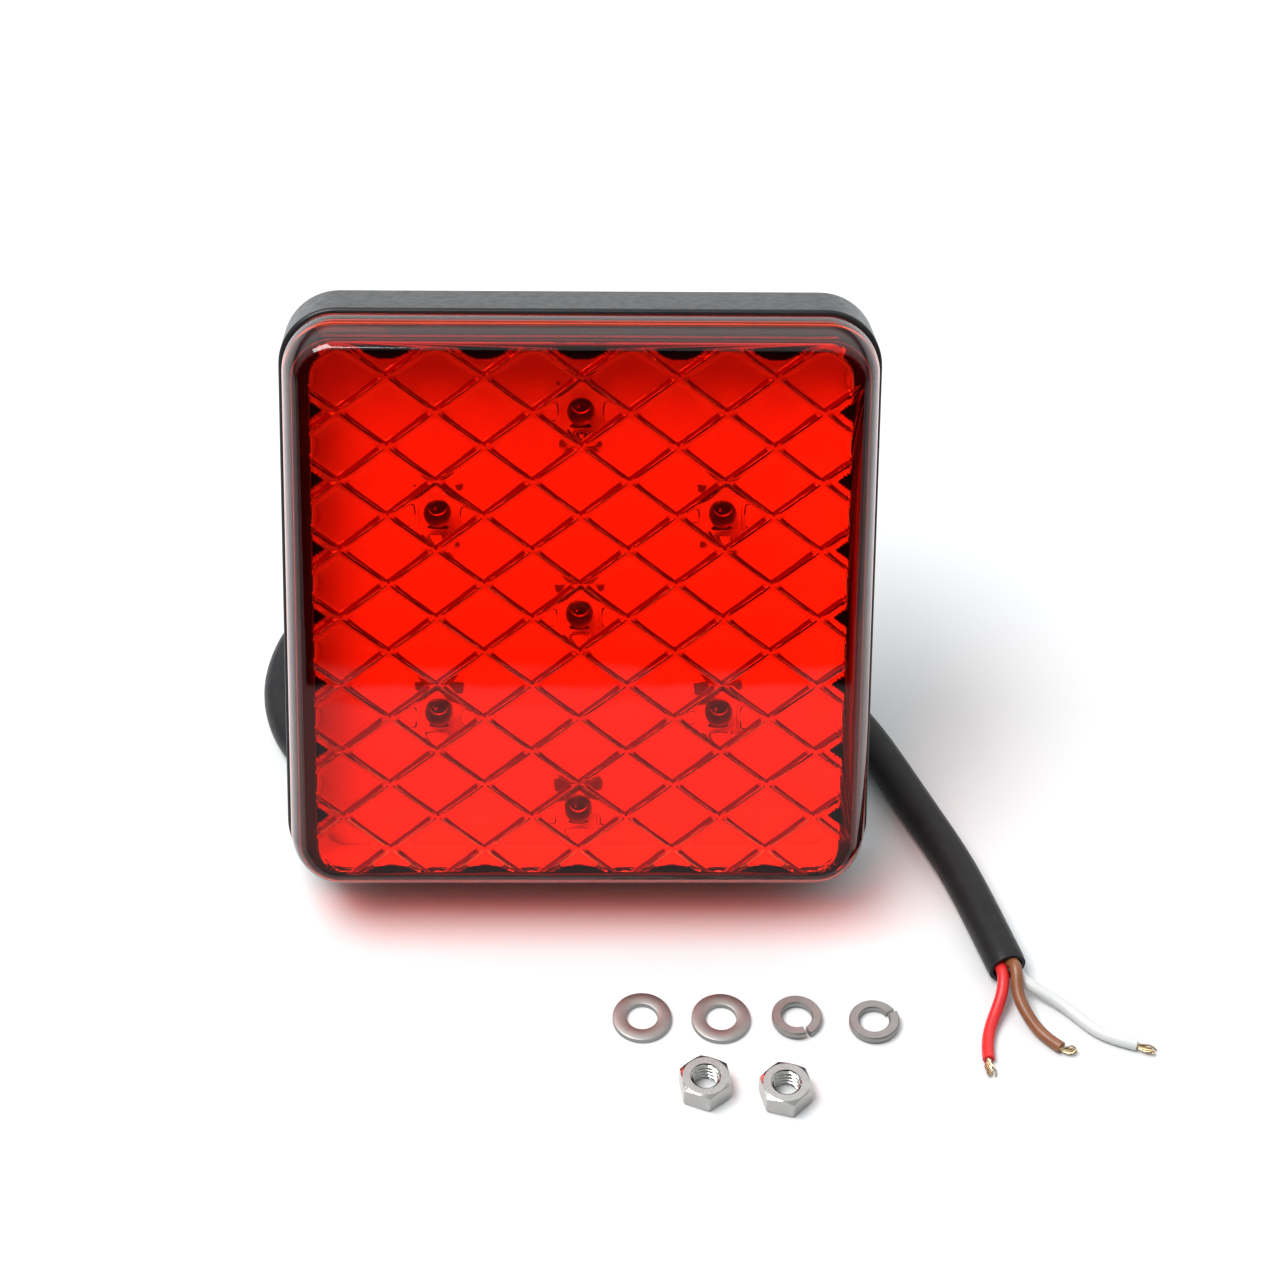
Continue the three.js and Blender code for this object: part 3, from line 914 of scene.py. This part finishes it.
def window_ring(inside, spacing=0.4):
    """The window's outline, moved in by `inside`, with points at an even spacing."""
    corner = max(WINDOW[2] - inside, 0.3)
    ring = rounded_ring(WINDOW[0] - inside, WINDOW[1] - inside, corner, 0, 8)
    points = []
    for first, second in zip(ring, ring[1:] + ring[:1]):
        start, end = Vector(first[:2]), Vector(second[:2])
        parts = max(int((end - start).length / spacing), 1)
        points += [start.lerp(end, part / parts) for part in range(parts)]
    return [tuple(point) for point in points]


def make_ceiling(outline):
    """The lens's inner face inside the outline: flat at its border, quilted in its window."""
    points, edges = quilt_points()
    rings = [window_ring(inside) for inside in WINDOW_RINGS]
    rings.append([point[:2] for point in outline])
    for ring in rings:
        base = len(points)
        points += ring
        edges += [(base + step, base + (step + 1) % len(ring)) for step in range(len(ring))]
    flat, _, faces, *_ = delaunay_2d_cdt([Vector(point) for point in points], edges, [], 1, 1e-4)
    raised = [(x, y, LENS_CEILING - quilt_height(x, y)) for x, y in flat]
    return Shape().add(raised, faces)


def lens_outside():
    """The rim's profile of (inset, z): a quarter of a long ellipse, then straight down to the foot."""
    inset, height = LENS_ROUND
    profile = [(inset + 0.15, DEPTH)]
    for angle in range(90, -1, -5):
        turn = radians(angle)
        profile.append((inset * (1 - cos(turn)), DEPTH - height * (1 - sin(turn))))
    return profile + [(0, LENS_FOOT + 0.1), (0.1, LENS_FOOT), (LENS_HALF - TONGUE_HALF, LENS_FOOT)]


def lens_inside(bevel):
    """The inner wall's profile of (inset, z), from the tongue's end up to a fillet under the face."""
    profile = [(-bevel, TONGUE_END), (0, TONGUE_END + bevel), (0, LENS_CEILING - LENS_FILLET)]
    for angle in range(18, 91, 18):
        turn = radians(angle)
        drop = LENS_FILLET * (1 - sin(turn))
        profile.append((LENS_FILLET * (1 - cos(turn)), LENS_CEILING - drop))
    return profile


def add_lens():
    bevel = 0.2
    tongue = [(0, LENS_FOOT - bevel), (0, TONGUE_END + bevel), (bevel, TONGUE_END)]
    rings = square_rings(LENS_HALF, LENS_CORNER, lens_outside())
    rings += square_rings(TONGUE_HALF, TONGUE_CORNER, tongue)
    rings += square_rings(*LENS_INSIDE, lens_inside(bevel))
    shape = loft(rings, last_cap=False)
    shape.merge(make_ceiling(rings[-1]))
    piece = make_piece("red_lens", shape, LAMP, ["red_lens"], ["lens_cover"], sharp=48)
    paint_groove_shade(piece)
    weigh_normals(piece)


# ---- LEDs

LED_FINISHES = ["clear_resin", "painted_crown_reflection", "bronze", "painted_glint_gold", "leg_metal"]

# What shows inside the resin: turned outlines of (radius, z), and gold arcs that catch the light, painted
# highlights for the dome's orange glints.
LED_BOWL = [(0.05, 14.6), (1.9, 14.65), (1.98, 14.5), (1.4, 13.4), (0.7, 12.8), (0.05, 12.75)]
# The crown's disc is a painted reflection: near black, for the dark reflection at the top of the dome.
LED_CROWN_REFLECTION = [(0.05, 15.1), (1.15, 15.1), (1.22, 15.0), (1.1, 14.75), (0.05, 14.75)]
LED_FOOT = [(0.05, 12.95), (1.6, 12.95), (1.7, 12.85), (1.6, 12.75), (0.05, 12.75)]
LED_GLINT_ARCS = [
    {"radius": 1.25, "thickness": 0.17, "angles": (195, 350), "middle": (0, 1.2, 15.0)},
    {"radius": 1.75, "thickness": 0.12, "angles": (285, 375), "middle": (0, 0, 14.8)},
]
LED_LEG_X = 3.3
LED_LEGS = [(3.6, 1.0), (-6.2, 0.5)]  # each pair of pads: its Y and its half side


def soft_box(half, low, high, edge):
    """A square block with bevelled edges."""
    rings = []
    for inset, z in ((edge, low), (0, low + edge), (0, high - edge), (edge, high)):
        rings.append(rounded_ring(half - inset, half - inset, max(edge * 2 - inset, 0.02), z, 3))
    return loft(rings)


def led_dome(steps=16):
    """An LED's dome, from the body's flat top up to its crown."""
    foot = 0.12
    profile = [(DOME_RADIUS + foot, LED_SHOULDER), (DOME_RADIUS, LED_SHOULDER + foot)]
    for step in range(steps):
        angle = step / steps * pi / 2
        height = LED_SHOULDER + DOME_NECK + DOME_RADIUS * sin(angle)
        profile.append((DOME_RADIUS * cos(angle), height))
    profile.append((0.05, LED_SHOULDER + DOME_NECK + DOME_RADIUS))
    return turned(profile)


def crescent(radius, thickness, angles, steps=20):
    """A thin arc, round in section and pointed at both ends, in its own plane."""
    start, end = angles
    rings = []
    for step in range(steps + 1):
        angle = radians(start + (end - start) * step / steps)
        thick = thickness * (0.08 + sin(pi * step / steps))
        ring = []
        for side in range(8):
            turn = side * pi / 4
            reach = radius + thick * cos(turn)
            ring.append((reach * cos(angle), reach * sin(angle), thick * sin(turn)))
        rings.append(ring)
    return loft(rings)


def led_shape():
    """An LED: a square resin body and dome over a bronze lead frame, with a near-black disc as a painted
    reflection at the dome's crown, gold arcs as painted glints, and four leg pads.
    """
    slot_of = LED_FINISHES.index
    sunk = led_dome().moved(Matrix.Translation((0, 0, -0.05)))
    shape = boolean(soft_box(LED_HALF, LED_BASE, LED_SHOULDER, 0.7), [("UNION", sunk)])
    bowl = turned(LED_BOWL)
    for point in bowl.points:
        point.x *= 1 + 0.2 * min(point.y, 0)  # egg-shaped, with its narrow end down
    shape.merge(bowl, slot_of("bronze"))
    # a near-black disc, a painted reflection at the dome's crown
    crown_reflection = turned(LED_CROWN_REFLECTION, 32).moved(Matrix.Diagonal((1, 0.8, 1, 1)))
    shape.merge(crown_reflection, slot_of("painted_crown_reflection"), (0, 1.1, 0))
    # gold arcs that catch the key light: painted glints in the dome
    for arc in LED_GLINT_ARCS:
        glint_arc = crescent(arc["radius"], arc["thickness"], arc["angles"])
        shape.merge(glint_arc, slot_of("painted_glint_gold"), arc["middle"])
    foot = turned(LED_FOOT, 32).moved(Matrix.Diagonal((1, 0.25, 1, 1)))
    shape.merge(foot, slot_of("bronze"), (0, -2.6, 0))
    for side in (-1, 1):
        for y, half in LED_LEGS:
            pad = soft_box(half, BOARD_TOP + 0.05, BOARD_TOP + 0.3, 0.1)
            shape.merge(pad, slot_of("leg_metal"), (LED_LEG_X * side, y, 0))
    return shape


def add_leds():
    shape = led_shape()
    for index, (column, row) in enumerate(LED_PLACES, 1):
        centre = Matrix.Translation((column * LED_PITCH[0], row * LED_PITCH[1] - LED_DROP, 0))
        make_piece(
            f"led_lamp_{index}", shape, LAMP @ centre, LED_FINISHES, [f"led_{index}"], sharp=40, weld=FINE,
        )


# ---- housing, seal, studs and grommet


def rod(radius, low, high, x=0, y=0):
    return turned([(radius, low), (radius, high)]).moved(Matrix.Translation((x, y, 0)))


def hex_rod(across, low, high, x=0):
    turn = Matrix.Translation((x, 0, 0)) @ Matrix.Rotation(radians(30), 4, "Z")
    corner = across / sqrt(3)
    return turned([(corner, low), (corner, high)], 6).moved(turn)


def housing_profile():
    """The shell's section of (inset, z): up its outside, over its rim and down inside to its floor."""
    rim, corner = 0.25, 0.8
    profile = [(EDGE + 0.1, 0)]
    profile += round_edge(EDGE, EDGE, EDGE, -90, 0)
    profile += round_edge(EDGE, HOUSING_DEPTH - EDGE, EDGE, 0, 90)
    profile += round_edge(WALL - rim, HOUSING_DEPTH - rim, rim, 90, 180, 3)
    profile += round_edge(WALL + corner, FLOOR + corner, corner, 0, -90, 4)
    return profile


def add_housing():
    below = FLOOR - 0.5
    operations = []
    for x in (-POST["at"], POST["at"]):
        for y in (-POST["at"], POST["at"]):
            operations.append(("UNION", rod(POST["radius"], below, POST["top"], x, y)))
    for x in (-STUD_X, STUD_X):
        operations += [
            ("UNION", rod(SOCKET["radius"], below, SOCKET["top"], x)),
            ("DIFFERENCE", hex_rod(SOCKET["across"], FLOOR, SOCKET["top"] + 1.5, x)),
            ("DIFFERENCE", rod(SOCKET["hole"], -1, FLOOR + 1, x)),
        ]
    operations.append(("DIFFERENCE", rod(GLAND_HOLE, -1, FLOOR + 1, 0, GLAND_Y)))
    shape = boolean(loft(square_rings(SIDE / 2, CORNER, housing_profile())), operations)
    piece = make_piece("black_housing", shape, LAMP, ["black_plastic"], ["housing"], sharp=30)
    weigh_normals(piece)


def add_inner_frame():
    """The black frame that stands on the board's margin, white like the board on its inner side."""
    low, high = FRAME_ENDS
    edge = 0.2
    width, height, corner = FRAME_OUTSIDE
    rings = [rounded_ring(*FRAME_OUTSIDE, low), rounded_ring(*FRAME_OUTSIDE, high - edge)]
    rings.append(rounded_ring(width - edge, height - edge, corner - edge, high))
    width, height, corner = FRAME_INSIDE
    rings.append(rounded_ring(width + edge, height + edge, corner + edge, high))
    rings += [rounded_ring(*FRAME_INSIDE, high - edge), rounded_ring(*FRAME_INSIDE, low), rings[0]]
    shape = loft(rings, False, False)
    sides = len(rings[0])
    for face in range(4 * sides, 5 * sides):
        shape.slots[face] = 1
    make_piece("lens_frame", shape, LAMP, ["black_plastic", "white_board"], ["inner_frame"])


def add_seal():
    low, high = HOUSING_DEPTH + 0.15, HOUSING_DEPTH + 0.45
    outside = (LENS_HALF - 0.5, LENS_HALF - 0.5, 8.5)
    inside = (SIDE / 2 - WALL + 0.2, SIDE / 2 - WALL + 0.2, 7.9)
    section = [(outside, low), (outside, high), (inside, high), (inside, low), (outside, low)]
    shape = loft([rounded_ring(*outline, z) for outline, z in section], False, False)
    make_piece("seal_ring", shape, LAMP, ["black_rubber"], ["lens_seal"])


def threaded(low, high, crest, root, sides=36, chamfer=0.0):
    """A rod with a right-hand thread; its crests shrink over `chamfer` at either end."""
    pitch = THREAD["pitch"]
    count = int((high - low) / pitch * 10)
    rings = []
    for level in range(count + 1):
        z = low + (high - low) * level / count
        ring = []
        for step in range(sides):
            turn = step / sides
            phase = (z / pitch - turn) % 1
            ridge = unit(1.5 - 4.8 * abs(phase - 0.5))
            limit = crest
            if chamfer:
                limit = min(crest, root - 0.3 + min(z - low, high - z) * 1.1)
            radius = min(root + (crest - root) * ridge, limit)
            ring.append((radius * cos(2 * pi * turn), radius * sin(2 * pi * turn), z))
        rings.append(ring)
    return loft(rings)


def add_studs():
    seat = FLOOR + 0.3
    for index, x in enumerate((-STUD_X, STUD_X), 1):
        shape = threaded(-STUD_LENGTH, -0.6, THREAD["crest"], THREAD["root"], chamfer=0.6)
        shape.merge(rod(2.4, -0.7, seat + 0.1))
        shape.merge(nut_body(seat, seat + STUD_HEAD))
        place = LAMP @ Matrix.Translation((x, 0, 0))
        make_piece(f"threaded_stud_{index}", shape, place, ["zinc_steel"], [f"stud_{index}"], weld=FINE)


def add_gland():
    """The rubber grommet and its ribbed strain relief."""
    profile = [(0.05, -12), (3.9, -12), (4.3, -11.6)]
    for rib in range(4):
        z = -10.6 + rib * 2.1
        radius = 4.35 + rib * 0.38
        profile += [(radius - 0.6, z), (radius - 0.6, z + 0.7), (radius, z + 0.95), (radius, z + 1.7)]
    profile += [(5.6, -2.2), (6, -1.9), (6, -0.5), (5.85, -0.35), (4.25, -0.3), (4.2, -0.2), (4.2, 2.4)]
    profile += [(4.25, 2.5), (6.1, 2.5), (6.3, 2.7), (6.3, 4.3), (4.8, 5.2), (0.05, 5.2)]
    place = LAMP @ Matrix.Translation((0, GLAND_Y, 0))
    make_piece("strain_relief", turned(profile, 64), place, ["black_rubber"], ["cable_gland"], sharp=40)


# ---- loose kit

KIT_TURNS = {
    "plain_washer_1": 0,
    "plain_washer_2": 63,
    "spring_washer_1": -65,
    "spring_washer_2": 28,
    "hex_nut_1": 8,
    "hex_nut_2": 14,
}


def nut_body(low, high):
    """A hexagon with its corners turned off at 30 degrees, top and bottom."""
    across = NUT["across"]
    flat = across / 2 * 0.95
    corner = across / sqrt(3)
    drop = (corner - flat) * tan(radians(30))
    profile = [(flat, low), (corner + 0.01, low + drop), (corner + 0.01, high - drop), (flat, high)]
    return boolean(hex_rod(across, low, high), [("INTERSECT", turned(profile, 96))])


def nut_shape():
    height = NUT["height"]
    mouth = THREAD["crest"] + 0.12
    bottom = turned([(mouth, -0.5), (mouth, 0), (2.1, 0.45), (0.5, 0.45)])
    top = turned([(0.5, height - 0.45), (2.1, height - 0.45), (mouth, height), (mouth, height + 0.5)])
    cutter = threaded(-0.8, height + 0.8, THREAD["crest"] + 0.05, 2.1, 48)
    return boolean(nut_body(0, height), [("DIFFERENCE", part) for part in (cutter, bottom, top)])


def plain_washer_shape():
    outer, inner, top = WASHER["outer"], WASHER["inner"], WASHER["thickness"]
    round_over = 0.18
    profile = [(inner, 0.05), (inner + 0.05, 0), (outer - 0.05, 0), (outer, 0.05), (outer, top - round_over)]
    profile += [(outer - round_over * 0.3, top - round_over * 0.3), (outer - round_over, top)]
    profile += [(inner + 0.14, top), (inner + 0.04, top - 0.04), (inner, top - 0.14)]
    return turned_ring(profile)


def spring_washer_shape():
    """A split ring, bent into a short helix, with its section's edges broken."""
    outer, inner = SPRING_WASHER["outer"], SPRING_WASHER["inner"]
    top, rise = SPRING_WASHER["thickness"], SPRING_WASHER["rise"]
    edge = 0.16
    section = [(inner + edge, 0), (outer - edge, 0), (outer, edge), (outer, top - edge)]
    section += [(outer - edge, top), (inner + edge, top), (inner, top - edge), (inner, edge)]
    middle = (outer + inner) / 2
    gap = SPRING_WASHER["split"] / 2 / middle
    steps = 84
    rings = []
    for step in range(steps + 1):
        angle = gap + (2 * pi - 2 * gap) * step / steps
        lift = rise * step / steps
        skew = 0.12 * (step / steps - 0.5)
        ring = []
        for radius, z in section:
            here = angle + skew * (radius - middle) / middle
            ring.append((radius * cos(here), radius * sin(here), z + lift))
        rings.append(ring)
    return loft(rings)


def kit_place(node, turn):
    """The middle of a loose piece's foot, on the table, turned about its axis."""
    low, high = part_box(node)
    middle = (low + high) / 2
    foot = Matrix.Translation((middle.x, middle.y, low.z))
    return foot @ Matrix.Rotation(radians(turn), 4, "Z") @ ROW


def add_kit():
    kinds = {
        "plain_washer": (plain_washer_shape(), 40, "zinc_steel"),
        "spring_washer": (spring_washer_shape(), 40, "zinc_steel"),
        "hex_nut": (nut_shape(), 28, "polished_zinc"),
    }
    for node, turn in KIT_TURNS.items():
        shape, sharp, finish = kinds[node[:-2]]
        make_piece(
            f"loose_{node}_finish", shape, kit_place(node, turn), [finish], [node],
            f"loose_{node}", "zinc_steel", sharp, FINE,
        )


# ---- floor, light and world

KEY = {"place": (-0.38, -0.12, 1.0), "target": (0, 0, 0.03), "width": 0.7, "height": 0.5, "power": 14.0}

WORLD_LIGHT = 0.75
WORLD_DARK = 0.025  # low down in front, where the camera stands
HORIZON = 0.25  # how much of these is left at the horizon
BACK_LIGHT = 0.7  # the backdrop is brighter than the rest by this much
LOW_GLOW = 0.5  # the bright table's edge, in front

# Between which directions the world's light changes, by their Y and by their Z.
FRONT_Y = (-0.6, -0.2)
BACK_Y = (0.1, 0.5)
DARK_Z = (0.6, 0.85)
GLOW_Z = (0.16, 0.166)
BACK_Z = (0.1, 0.3)
HORIZON_Z = (0.0, 0.5)


def add_floor():
    size = 3.0
    mesh = bpy.data.meshes.new("floor")
    corners = [(-size, -size, 0), (size, -size, 0), (size, size, 0), (-size, size, 0)]
    mesh.from_pydata(corners, [], [(0, 1, 2, 3)])
    mesh.materials.append(MATERIALS["white_sweep"])
    floor = add_object("floor", mesh)


def add_key_light():
    data = bpy.data.lights.new("key", "AREA")
    data.shape = "RECTANGLE"
    data.size = KEY["width"]
    data.size_y = KEY["height"]
    data.energy = KEY["power"]
    light = add_object("key", data)
    aim = Vector(KEY["target"]) - Vector(KEY["place"])
    turn = aim.to_track_quat("-Z", "Y").to_matrix().to_4x4()
    light.matrix_world = Matrix.Translation(KEY["place"]) @ turn


def add_world():
    """White surroundings, but dark low down in front, where the camera stands."""
    world = bpy.data.worlds.new("studio")
    bpy.context.scene.world = world
    world.use_nodes = True
    nodes = Tree(world.node_tree)
    direction = nodes.add("ShaderNodeSeparateXYZ")
    nodes.link(nodes.add("ShaderNodeTexCoord").outputs["Generated"], direction.inputs["Vector"])
    y, z = direction.outputs["Y"], direction.outputs["Z"]
    front = nodes.eased(y, FRONT_Y, 1, 0)
    dark = nodes.math("MULTIPLY", front, nodes.eased(z, DARK_Z, 1, 0))
    glow = nodes.math("MULTIPLY", front, nodes.eased(z, GLOW_Z, LOW_GLOW, 0))
    back = nodes.math("MULTIPLY", nodes.eased(y, BACK_Y, 0, BACK_LIGHT), nodes.eased(z, BACK_Z, 0, 1))
    around = nodes.eased(dark, (0, 1), WORLD_LIGHT, WORLD_DARK)
    total = nodes.math("MULTIPLY", around, nodes.eased(z, HORIZON_Z, HORIZON, 1))
    for light in (back, glow):
        total = nodes.math("ADD", total, light)
    background = world.node_tree.nodes["Background"]
    background.inputs["Color"].default_value = (0.97, 0.985, 1.0, 1)
    nodes.link(total, background.inputs["Strength"])


def light_scene():
    add_floor()
    add_key_light()
    add_world()
    settings = bpy.context.scene.view_settings
    settings.view_transform = "Standard"
    settings.look = "None"
    cycles = bpy.context.scene.cycles
    cycles.max_bounces = 24
    cycles.transmission_bounces = 16
    cycles.transparent_max_bounces = 16
    cycles.glossy_bounces = 6
    cycles.diffuse_bounces = 5


add_camera()
finish_cad_nodes()
add_cable()
add_lens()
add_leds()
add_housing()
add_inner_frame()
add_seal()
add_studs()
add_gland()
add_kit()
light_scene()
